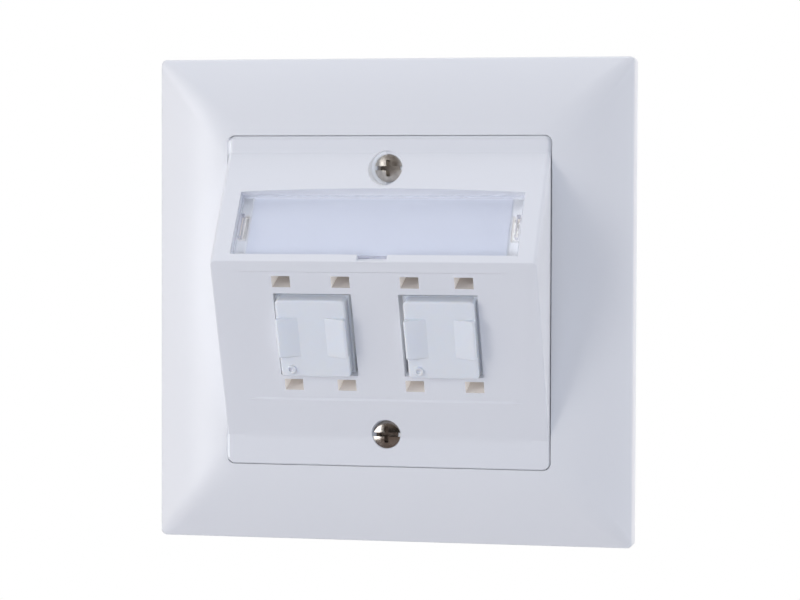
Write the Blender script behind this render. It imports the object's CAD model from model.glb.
import math

import bpy
from mathutils import Matrix, Vector


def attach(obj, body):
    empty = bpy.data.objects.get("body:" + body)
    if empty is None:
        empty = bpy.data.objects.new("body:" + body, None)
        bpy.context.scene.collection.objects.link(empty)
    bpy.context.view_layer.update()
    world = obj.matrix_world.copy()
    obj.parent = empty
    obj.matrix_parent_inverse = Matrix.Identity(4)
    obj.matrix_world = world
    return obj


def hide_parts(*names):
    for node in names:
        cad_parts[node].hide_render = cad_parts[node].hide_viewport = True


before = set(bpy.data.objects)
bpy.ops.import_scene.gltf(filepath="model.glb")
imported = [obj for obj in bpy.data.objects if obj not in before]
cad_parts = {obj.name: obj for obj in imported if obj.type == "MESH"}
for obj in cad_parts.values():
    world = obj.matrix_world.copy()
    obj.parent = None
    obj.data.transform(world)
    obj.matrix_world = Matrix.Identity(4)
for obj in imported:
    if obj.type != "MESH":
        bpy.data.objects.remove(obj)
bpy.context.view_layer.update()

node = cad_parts
bpy.ops.object.select_all(action="DESELECT")

# ------------------------------------------------------------------ cover frame
# One injection moulding in white ABS with bowed faces and mitred corners. The tool was
# polished, so the skin is satin-gloss with a trace of mould texture and slow waviness.


def feed(tree, target, inputs):
    """Set inputs of a node: each takes a value, or the output that feeds it."""
    for name, value in inputs.items():
        if isinstance(value, bpy.types.NodeSocket):
            tree.links.new(value, target.inputs[name])
        else:
            target.inputs[name].default_value = value


def add_node(tree, kind, inputs, **settings):
    """Add a shader node with its settings and its inputs."""
    new = tree.nodes.new("ShaderNode" + kind)
    for name, value in settings.items():
        setattr(new, name, value)
    feed(tree, new, inputs)
    return new


def calc(tree, operation, *values):
    """What a Math node puts out, from values or the outputs that feed it."""
    return add_node(tree, "Math", dict(enumerate(values)), operation=operation).outputs[0]


def noise(tree, place, scale, detail, roughness=0.5):
    """Cloudy pattern in place; a larger scale gives a finer pattern."""
    return add_node(tree, "TexNoise", {"Vector": place, "Scale": scale, "Detail": detail,
                                       "Roughness": roughness}).outputs["Fac"]


def moulded_skin():
    """Shared effect: what the polished steel tool leaves on a plastic skin."""
    group = bpy.data.node_groups.new("moulded skin", "ShaderNodeTree")
    for name, kind in (("Place", "Vector"), ("Tint", "Color"), ("Shade", "Color"),
                       ("Gloss", "Float"), ("Spread", "Float")):
        group.interface.new_socket(name, in_out="INPUT", socket_type="NodeSocket" + kind)
    for name, kind in (("Color", "Color"), ("Roughness", "Float"), ("Height", "Float")):
        group.interface.new_socket(name, in_out="OUTPUT", socket_type="NodeSocket" + kind)
    given = group.nodes.new("NodeGroupInput").outputs

    flow = noise(group, given["Place"], 55.0, 3.0, 0.45)
    tint = add_node(group, "Mix", {"Factor": flow, "A": given["Tint"], "B": given["Shade"]},
                    data_type="RGBA")
    cloud = noise(group, given["Place"], 240.0, 4.0)
    centred = calc(group, "SUBTRACT", cloud, 0.5)
    rough = calc(group, "MULTIPLY_ADD", centred, given["Spread"], given["Gloss"])
    grain = noise(group, given["Place"], 5200.0, 2.0)
    swell = calc(group, "MULTIPLY_ADD", flow, 9.0, grain)
    feed(group, group.nodes.new("NodeGroupOutput"),
         {"Color": tint.outputs["Result"], "Roughness": rough, "Height": swell})
    return group


def new_material(name):
    """A new material, with its node tree and its main shader."""
    material = bpy.data.materials.new(name)
    material.use_nodes = True
    return material, material.node_tree, material.node_tree.nodes["Principled BSDF"]


skin_group = moulded_skin()


def plastic(name, tint, shade, gloss, spread, relief, ior=1.53, edge=0.00014):
    """Opaque moulded plastic that uses the shared skin; edge is the radius of its edges."""
    material, tree, shader = new_material(name)
    place = add_node(tree, "TexCoord", {}).outputs["Object"]
    skin = add_node(tree, "Group", {"Place": place, "Tint": (*tint, 1), "Shade": (*shade, 1),
                                    "Gloss": gloss, "Spread": spread}, node_tree=skin_group)
    arris = add_node(tree, "Bevel", {"Radius": edge}, samples=6)
    bump = add_node(tree, "Bump", {"Strength": 1.0, "Distance": relief,
                                   "Height": skin.outputs["Height"],
                                   "Normal": arris.outputs["Normal"]})
    feed(tree, shader, {"IOR": ior, "Base Color": skin.outputs["Color"],
                        "Roughness": skin.outputs["Roughness"],
                        "Normal": bump.outputs["Normal"]})
    return material


def dress(piece, material):
    """Give a piece one material all over."""
    piece.data.materials.clear()
    piece.data.materials.append(material)


frame_white = plastic("frame white ABS", (0.80, 0.81, 0.84), (0.785, 0.797, 0.83),
                      0.33, 0.06, 0.0000012)
dress(node["cover_frame"], frame_white)

# ----------------------------------------------------------------- centre plate
# The hood, its ports and the label recess are one moulding in the same white, a little
# less glossy where the steel was only stoned; two screws through it clamp the frame.

# The hood's two slopes lean opposite ways and run from a foot on the flat front to the ridge.
flat_front = -0.0081
hood_rise = 0.0121
ridge_height = 0.0068
slope_half_width = 0.0245
low_foot = -0.0226
low_lean = math.atan(hood_rise / (ridge_height - low_foot))
high_foot = 0.0246
high_lean = -math.atan(hood_rise / (high_foot - ridge_height))


def on_slope(spot, foot, lean):
    """A place on a slope: how far up the face from its foot, and how deep below the face."""
    back = spot.y - flat_front
    up = spot.z - foot
    rise = up * math.cos(lean) - back * math.sin(lean)
    return rise, back * math.cos(lean) + up * math.sin(lean)


# The lower slope runs out to the flat in a soft foot, left and right of the screw well.
plate_edge = 0.00006
soft_foot_radius = 0.0016
soft_foot_band = 0.0019
soft_foot_start = 0.0030
soft_foot_full = 0.0045
plate_white = plastic("plate white ABS", (0.785, 0.797, 0.832), (0.77, 0.783, 0.822),
                      0.38, 0.07, 0.0000014, edge=plate_edge)
tree = plate_white.node_tree
place = add_node(tree, "SeparateXYZ", {0: tree.nodes["Texture Coordinate"].outputs["Object"]})
at_foot = calc(tree, "COMPARE", place.outputs["Z"], low_foot, soft_foot_band)
aside = calc(tree, "ABSOLUTE", place.outputs["X"])
off_well = add_node(tree, "MapRange", {"Value": aside, "From Min": soft_foot_start,
                                       "From Max": soft_foot_full})
in_width = calc(tree, "LESS_THAN", aside, slope_half_width)
beside_well = calc(tree, "MULTIPLY", at_foot, off_well.outputs["Result"])
softness = calc(tree, "MULTIPLY", beside_well, in_width)
feed(tree, tree.nodes["Bevel"],
     {"Radius": calc(tree, "MULTIPLY_ADD", softness, soft_foot_radius, plate_edge)})

# The shallow panel round the ports fades out to its left and right in a long ramp, and to
# its lower and upper edges in a short one, so the corners of its floor are drawn in.
panel_half_width = 0.0236
panel_sink = 0.00025
tolerance = 0.00005
floor_width_share = 0.90
port_row = 0.01855

bpy.ops.object.select_all(action="DESELECT")
plate = node["centre_plate"].copy()
plate.data = plate.data.copy()
plate.name = "plate_moulding"
plate.parent = None
plate.matrix_world = Matrix.Identity(4)
bpy.context.collection.objects.link(plate)
plate.select_set(True)
bpy.context.view_layer.objects.active = plate
bpy.ops.object.mode_set(mode="EDIT")
bpy.ops.mesh.select_all(action="SELECT")
bpy.ops.mesh.remove_doubles(threshold=0.000002)
bpy.ops.object.mode_set(mode="OBJECT")
floor_corners = {"lower": [], "upper": []}
for point in plate.data.vertices:
    rise, deep = on_slope(point.co, low_foot, low_lean)
    at_side = abs(abs(point.co.x) - panel_half_width) < tolerance
    if at_side and abs(deep - panel_sink) < tolerance:
        floor_corners["upper" if rise > port_row else "lower"].append(point.index)
for end, slide in (("lower", 0.00035), ("upper", -0.00015)):
    bpy.ops.object.mode_set(mode="EDIT")
    bpy.ops.mesh.select_all(action="DESELECT")
    bpy.ops.object.mode_set(mode="OBJECT")
    for index in floor_corners[end]:
        plate.data.vertices[index].select = True
    bpy.ops.object.mode_set(mode="EDIT")
    bpy.ops.transform.resize(value=(floor_width_share, 1, 1), center_override=(0, 0, 0))
    bpy.ops.transform.translate(value=(0, -slide * math.sin(low_lean), slide * math.cos(low_lean)))
    bpy.ops.object.mode_set(mode="OBJECT")
bpy.ops.mesh.customdata_custom_splitnormals_clear()
bpy.ops.object.shade_smooth_by_angle(angle=math.radians(20))
even = plate.modifiers.new("flat faces stay flat", "WEIGHTED_NORMAL")
even.keep_sharp = True
bpy.ops.object.modifier_apply(modifier=even.name)
dress(plate, plate_white)
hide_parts("centre_plate")
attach(plate, "outlet")

# The moulding is thin, so some light comes through to the walls of its deep parts: warm in
# the catch windows and clip slots, cool in the ports, the recess, the well and the seams.


def lining(name, glow, tint, shade, shine):
    """The plate's plastic where light of the colour shine comes through, as strong as glow."""
    material = plastic(name, tint, shade, 0.5, 0.05, 0.0000012)
    feed(material.node_tree, material.node_tree.nodes["Principled BSDF"],
         {"Emission Color": (*shine, 1), "Emission Strength": glow})
    return material


warm = ((0.88, 0.85, 0.82), (0.84, 0.80, 0.76))
dim = ((0.80, 0.765, 0.735), (0.76, 0.72, 0.685))
cool = ((0.80, 0.81, 0.84), (0.785, 0.79, 0.82))
warm_light = (1.0, 0.9, 0.86)
side_light = (1.0, 0.96, 0.94)
cool_light = (0.95, 0.97, 1.0)
for name, glow, (tint, shade), shine in (
        ("upper pocket lining", 0.003, dim, warm_light),
        ("lower pocket lining", 0.024, warm, warm_light),
        ("clip slot lining", 0.09, warm, warm_light),
        ("label recess floor", 0.10, cool, cool_light),
        ("light in the upper seam", 0.06, cool, cool_light),
        ("light in the left seam", 0.2, cool, cool_light),
        ("port wall", 0.045, cool, cool_light),
        ("lit side of a pocket", 0.24, warm, side_light),
        ("light in the screw well", 0.16, cool, cool_light)):
    plate.data.materials.append(lining(name, glow, tint, shade, shine))

# Ports and catch windows, measured from the middle of a port along the lower slope.
port_out = 0.0105
port_half_width = 0.0067
port_half_height = 0.0076
port_depth = (0.0003, 0.009)
catch_aside = (0.0028, 0.0066)
catch_up = (0.0081, 0.0106)
catch_depth = (0.0005, 0.006)
# The recess and its clip slots, measured from the middle of the label along the upper slope.
label_row = -0.014
recess_half_width = 0.024
recess_half_height = 0.0065
recess_floor_depth = (0.0018, 0.00192)
clip_slot_out = 0.0228
clip_slot_half_width = 0.0008
clip_slot_half_height = 0.0026
# The upper screw's well is in the shade on its left side alone.
screw_height = 0.0221
well_radius = 0.00295
well_floor = -0.0070
well_shade_side = -0.0005
# The skirt's outer walls, and how far down the left one is lit.
skirt_side = 0.0271
seam_light_end = -0.0265


def between(value, limits):
    """Whether a value lies inside its two limits."""
    return limits[0] < value < limits[1]


def looks_right(face):
    """Whether a face looks to the right."""
    return face.normal.x > 0.9


def plate_finish(face):
    """Name of the material on a face of the plate, from the place of the face."""
    spot = face.center
    rise, deep = on_slope(spot, high_foot, high_lean)
    from_label = abs(rise - label_row)
    at_clip = abs(abs(spot.x) - clip_slot_out) < clip_slot_half_width
    if at_clip and from_label < clip_slot_half_height and deep > recess_floor_depth[1]:
        return "clip slot lining"
    in_recess = abs(spot.x) < recess_half_width and from_label < recess_half_height
    if in_recess and between(deep, recess_floor_depth):
        return "label recess floor"
    in_well = math.hypot(spot.x, spot.z - screw_height) < well_radius and spot.y < well_floor
    if in_well and spot.x < well_shade_side:
        return "light in the screw well"
    rise, deep = on_slope(spot, low_foot, low_lean)
    up = rise - port_row
    aside = abs(abs(spot.x) - port_out)
    at_catch = between(aside, catch_aside) and between(abs(up), catch_up)
    if at_catch and between(deep, catch_depth):
        if looks_right(face):
            return "lit side of a pocket"
        return "upper pocket lining" if up > 0 else "lower pocket lining"
    if aside < port_half_width and abs(up) < port_half_height and between(deep, port_depth):
        return "port wall"
    if spot.y > flat_front and spot.z > skirt_side:
        return "light in the upper seam"
    if spot.y > flat_front and spot.x < -skirt_side and spot.z > seam_light_end:
        return "light in the left seam"
    return plate_white.name


for face in plate.data.polygons:
    face.material_index = plate.data.materials.find(plate_finish(face))

# The frame's own wall of the left seam is lit in the same way.
opening_half_width = 0.02755
wall_reach = 0.00015
rim = node["cover_frame"]
rim.data.materials.append(bpy.data.materials["light in the left seam"])
for face in rim.data.polygons:
    if looks_right(face) and abs(face.center.x + opening_half_width) < wall_reach:
        face.material_index = 1

# -------------------------------------------------------------------- dust caps
# Hollow plugs moulded in a softer polyethylene that lets a little light in. They snap
# into the ports and come out by the two wedge grips.

cap_milk = plastic("cap milky polyethylene", (0.80, 0.825, 0.87), (0.78, 0.81, 0.86),
                   0.22, 0.06, 0.0000016, ior=1.51, edge=0.0002)
feed(cap_milk.node_tree, cap_milk.node_tree.nodes["Principled BSDF"],
     {"Subsurface Weight": 0.4, "Subsurface Radius": (0.0012, 0.0014, 0.0017),
      "Subsurface Scale": 1.0})
for name in ("dust_cap_left", "dust_cap_right"):
    dress(node[name], cap_milk)

# ------------------------------------------------------- label card and its window
# A blank card slip lies in the recess under a clear styrene window, which two clip legs
# hold and a notch at its lower edge lets a blade lift.


def ramp(tree, factor, stops):
    """Colours that follow a factor: each stop is a position and its colour."""
    band = add_node(tree, "ValToRGB", {"Fac": factor})
    points = band.color_ramp.elements
    for point, (position, colour) in zip(points, stops):
        point.position = position
        point.color = (*colour, 1)
    for position, colour in stops[2:]:
        points.new(position).color = (*colour, 1)
    return band.outputs["Color"]


def bumps(tree, height, strength, distance):
    """Normals that follow a height, which spans the distance at full strength."""
    return add_node(tree, "Bump", {"Height": height, "Strength": strength,
                                   "Distance": distance}).outputs["Normal"]


# The clear window lets light in along its upper edge, which takes the shadow off the card.
shadow_start = 0.0156
shadow_end = 0.0168
card_stock, tree, shader = new_material("blank card stock")
place = add_node(tree, "TexCoord", {}).outputs["Object"]
fibre = noise(tree, place, 2600.0, 5.0)
height = add_node(tree, "SeparateXYZ", {0: place}).outputs["Z"]
upper = add_node(tree, "MapRange", {"Value": height, "From Min": shadow_start,
                                    "From Max": shadow_end}).outputs["Result"]
feed(tree, shader, {
    "Specular IOR Level": 0.3,
    "Base Color": ramp(tree, fibre, ((0.3, (0.665, 0.69, 0.78)), (0.75, (0.695, 0.72, 0.81)))),
    "Roughness": calc(tree, "MULTIPLY_ADD", fibre, 0.2, 0.65),
    "Normal": bumps(tree, fibre, 0.6, 0.000006),
    "Emission Color": ramp(tree, upper, ((0.0, (0, 0, 0)), (1.0, (0.086, 0.090, 0.092)))),
    "Emission Strength": 1.0})
dress(node["label_card"], card_stock)
settle = node["label_card"].modifiers.new("card lies a hair below the window", "DISPLACE")
settle.direction = "Y"
settle.mid_level = 0.0
settle.strength = 0.00004


def styrene(name, tint, weight, haze, spread, straight):
    """Clear moulding: part of the light goes straight through, as in a thin clean sheet."""
    material, tree, shader = new_material(name)
    ripple = noise(tree, add_node(tree, "TexCoord", {}).outputs["Object"], 160.0, 2.0)
    feed(tree, shader, {"Base Color": (*tint, 1), "Transmission Weight": weight, "IOR": 1.5,
                        "Roughness": calc(tree, "MULTIPLY_ADD", ripple, spread, haze),
                        "Normal": bumps(tree, ripple, 0.3, 0.000004)})
    through = add_node(tree, "BsdfTransparent", {"Color": (0.99, 0.995, 1.0, 1)})
    ray = add_node(tree, "LightPath", {}).outputs
    plain = calc(tree, "MAXIMUM", ray["Is Shadow Ray"], ray["Is Diffuse Ray"])
    share = calc(tree, "MAXIMUM", plain, straight)
    either = add_node(tree, "MixShader", {"Fac": share, 1: shader.outputs["BSDF"],
                                          2: through.outputs["BSDF"]})
    feed(tree, tree.nodes["Material Output"], {"Surface": either.outputs["Shader"]})
    return material


window = node["label_window"]
window.data.materials.clear()
for name, tint, weight, haze, spread, straight in (
        ("clear styrene", (0.985, 0.99, 1.0), 1.0, 0.01, 0.03, 0.5),
        ("matt edge of the clear styrene", (0.74, 0.74, 0.83), 0.3, 0.4, 0.2, 0.3),
        ("lower edge of the clear styrene", (0.40, 0.395, 0.47), 0.3, 0.4, 0.2, 0.2)):
    window.data.materials.append(styrene(name, tint, weight, haze, spread, straight))
outward = Vector((0, -math.cos(high_lean), -math.sin(high_lean)))
downhill = Vector((0, math.sin(high_lean), -math.cos(high_lean)))
sheet_depth = 0.00175
for face in window.data.polygons:
    deep = on_slope(face.center, high_foot, high_lean)[1]
    across_sheet = abs(face.normal.dot(outward)) < 0.3
    looks_down = face.normal.dot(downhill) > 0.7
    if across_sheet and deep < sheet_depth:
        face.material_index = 2 if looks_down else 1

# ----------------------------------------------------------------- plate screws
# Raised countersunk screws, cold headed and nickel plated, with a slot across a cross
# recess. Handling leaves fine polishing marks on the heads, and the upper one has been
# scuffed by the driver, so its plating is duller.


def nickel_plate(name, dark, bright, haze):
    """Nickel plated steel, with marks between a dark and a bright tone."""
    material, tree, shader = new_material(name)
    marks = noise(tree, add_node(tree, "TexCoord", {}).outputs["Object"], 1500.0, 6.0)
    feed(tree, shader, {"Metallic": 1.0,
                        "Base Color": ramp(tree, marks, ((0.3, dark), (0.7, bright))),
                        "Roughness": calc(tree, "MULTIPLY_ADD", marks, 0.22, haze),
                        "Normal": bumps(tree, marks, 0.5, 0.00001)})
    return material


dress(node["plate_screw_lower"],
      nickel_plate("nickel plate", (0.42, 0.39, 0.36), (0.60, 0.57, 0.54), 0.1))
dress(node["plate_screw_upper"],
      nickel_plate("scuffed nickel plate", (0.56, 0.53, 0.49), (0.78, 0.75, 0.70), 0.27))

# ----------------------------------------------------------------- support ring
# Pressed from zinc plated sheet steel, with the flange drawn into the box opening and
# the collars drawn and tapped. The zinc shows a faint spangle and rolling lines.

zinc, tree, shader = new_material("zinc plated sheet")
place = add_node(tree, "TexCoord", {}).outputs["Object"]
spangle = add_node(tree, "TexVoronoi", {"Vector": place, "Scale": 600.0}).outputs["Color"]
stretch = add_node(tree, "Mapping", {"Vector": place, "Scale": (18.0, 900.0, 2400.0)})
rolled = noise(tree, stretch.outputs["Vector"], 1.0, 3.0)
feed(tree, shader, {
    "Metallic": 1.0,
    "Base Color": ramp(tree, spangle, ((0.0, (0.57, 0.585, 0.61)), (1.0, (0.63, 0.645, 0.665)))),
    "Roughness": calc(tree, "MULTIPLY_ADD", rolled, 0.2, 0.26),
    "Normal": bumps(tree, rolled, 0.5, 0.000008)})
dress(node["support_ring"], zinc)

# --------------------------------------------------------- floor, light and camera
# A pale floor well below, in a plain white surround: a key and a wall of light from the
# left, walls in front, to the right and behind, a top light, and a camera a little right
# of the middle.


def plain_to_camera(tree, lit, plain, out):
    """Show the camera the plain shader, and light everything else by the lit one."""
    seen = add_node(tree, "LightPath", {}).outputs["Is Camera Ray"]
    pick = add_node(tree, "MixShader", {"Fac": seen, 1: lit, 2: plain})
    feed(tree, tree.nodes[out], {"Surface": pick.outputs["Shader"]})


bpy.ops.mesh.primitive_plane_add(size=5.0, location=(0, 2.4, -0.32))
floor = bpy.context.object
floor.name = "floor"
pale, tree, shader = new_material("pale floor")
feed(tree, shader, {"Base Color": (0.85, 0.85, 0.86, 1), "Roughness": 0.9})
white = add_node(tree, "Emission", {})
plain_to_camera(tree, shader.outputs["BSDF"], white.outputs["Emission"], "Material Output")
dress(floor, pale)

# Straight ahead lies a dim banded room, which the screws mirror; all round it is pale.
world = bpy.data.worlds.new("studio")
bpy.context.scene.world = world
world.use_nodes = True
tree = world.node_tree
way = add_node(tree, "SeparateXYZ", {0: add_node(tree, "TexCoord", {}).outputs["Generated"]})
beside = add_node(tree, "MapRange", {"Value": way.outputs["Y"], "From Min": -0.78,
                                     "From Max": -0.42}, interpolation_type="SMOOTHSTEP")
level = add_node(tree, "MapRange", {"Value": way.outputs["Z"], "From Min": -1.0, "From Max": 1.0})
room = ramp(tree, level.outputs["Result"],
            ((0.42, (0.95, 0.76, 0.68)), (0.50, (0.04, 0.035, 0.035)),
             (0.60, (0.05, 0.045, 0.04)), (0.70, (0.75, 0.62, 0.52))))
tone = add_node(tree, "Mix", {"Factor": beside.outputs["Result"], "A": room,
                              "B": (0.90, 0.88, 1.0, 1)}, data_type="RGBA")
sky = tree.nodes["Background"]
feed(tree, sky, {"Color": tone.outputs["Result"], "Strength": 0.22})
white = add_node(tree, "Background", {"Color": (1, 1, 1, 1), "Strength": 1.0})
plain_to_camera(tree, sky.outputs["Background"], white.outputs["Background"], "World Output")


def softbox(name, round_by, up_by, wide, high, power, colour):
    """Area light a metre off, turned toward the object: degrees from the front and up."""
    data = bpy.data.lights.new(name, "AREA")
    data.shape = "RECTANGLE"
    data.size = wide
    data.size_y = high
    data.energy = power
    data.color = colour
    lamp = bpy.data.objects.new(name, data)
    bpy.context.collection.objects.link(lamp)
    side = math.radians(round_by)
    lift = math.radians(up_by)
    place = Vector((math.sin(side) * math.cos(lift), -math.cos(side) * math.cos(lift),
                    math.sin(lift)))
    lamp.location = place
    lamp.rotation_euler = (-place).to_track_quat("-Z", "Y").to_euler()
    return lamp


softbox("key", -42, 3, 0.34, 0.75, 3.6, (1.0, 0.99, 0.985))
softbox("left wall", -65, 5, 0.8, 0.8, 2.2, (0.99, 0.95, 0.88))
fill = softbox("front wall", 0, 0, 0.9, 0.9, 4.5, (0.76, 0.85, 1.0))
fill.visible_glossy = False
softbox("right wall", 70, 5, 0.6, 0.8, 1.3, (0.77, 0.87, 1.0))
softbox("side wall", 98, 5, 0.6, 0.8, 4.2, (1.0, 0.98, 0.96))
softbox("back wall", 180, 12, 1.2, 1.0, 3.5, (1.0, 1.0, 1.0))
softbox("top", 0, 95, 0.9, 0.6, 5.0, (0.95, 0.97, 1.0))

yaw = math.radians(12.41)
pitch = math.radians(2.05)
roll = math.radians(0.18)
lens = bpy.data.cameras.new("camera")
lens.sensor_width = 36.0
lens.lens = 124.05
lens.clip_start = 0.01
camera = bpy.data.objects.new("camera", lens)
bpy.context.collection.objects.link(camera)
turn = Matrix.Rotation(yaw, 3, "Z") @ Matrix.Rotation(math.pi / 2 - pitch, 3, "X")
camera.rotation_euler = (turn @ Matrix.Rotation(roll, 3, "Z")).to_euler()
camera.location = (0.10031, -0.45406, 0.01662)
bpy.context.scene.camera = camera
bpy.context.scene.view_settings.view_transform = "Standard"
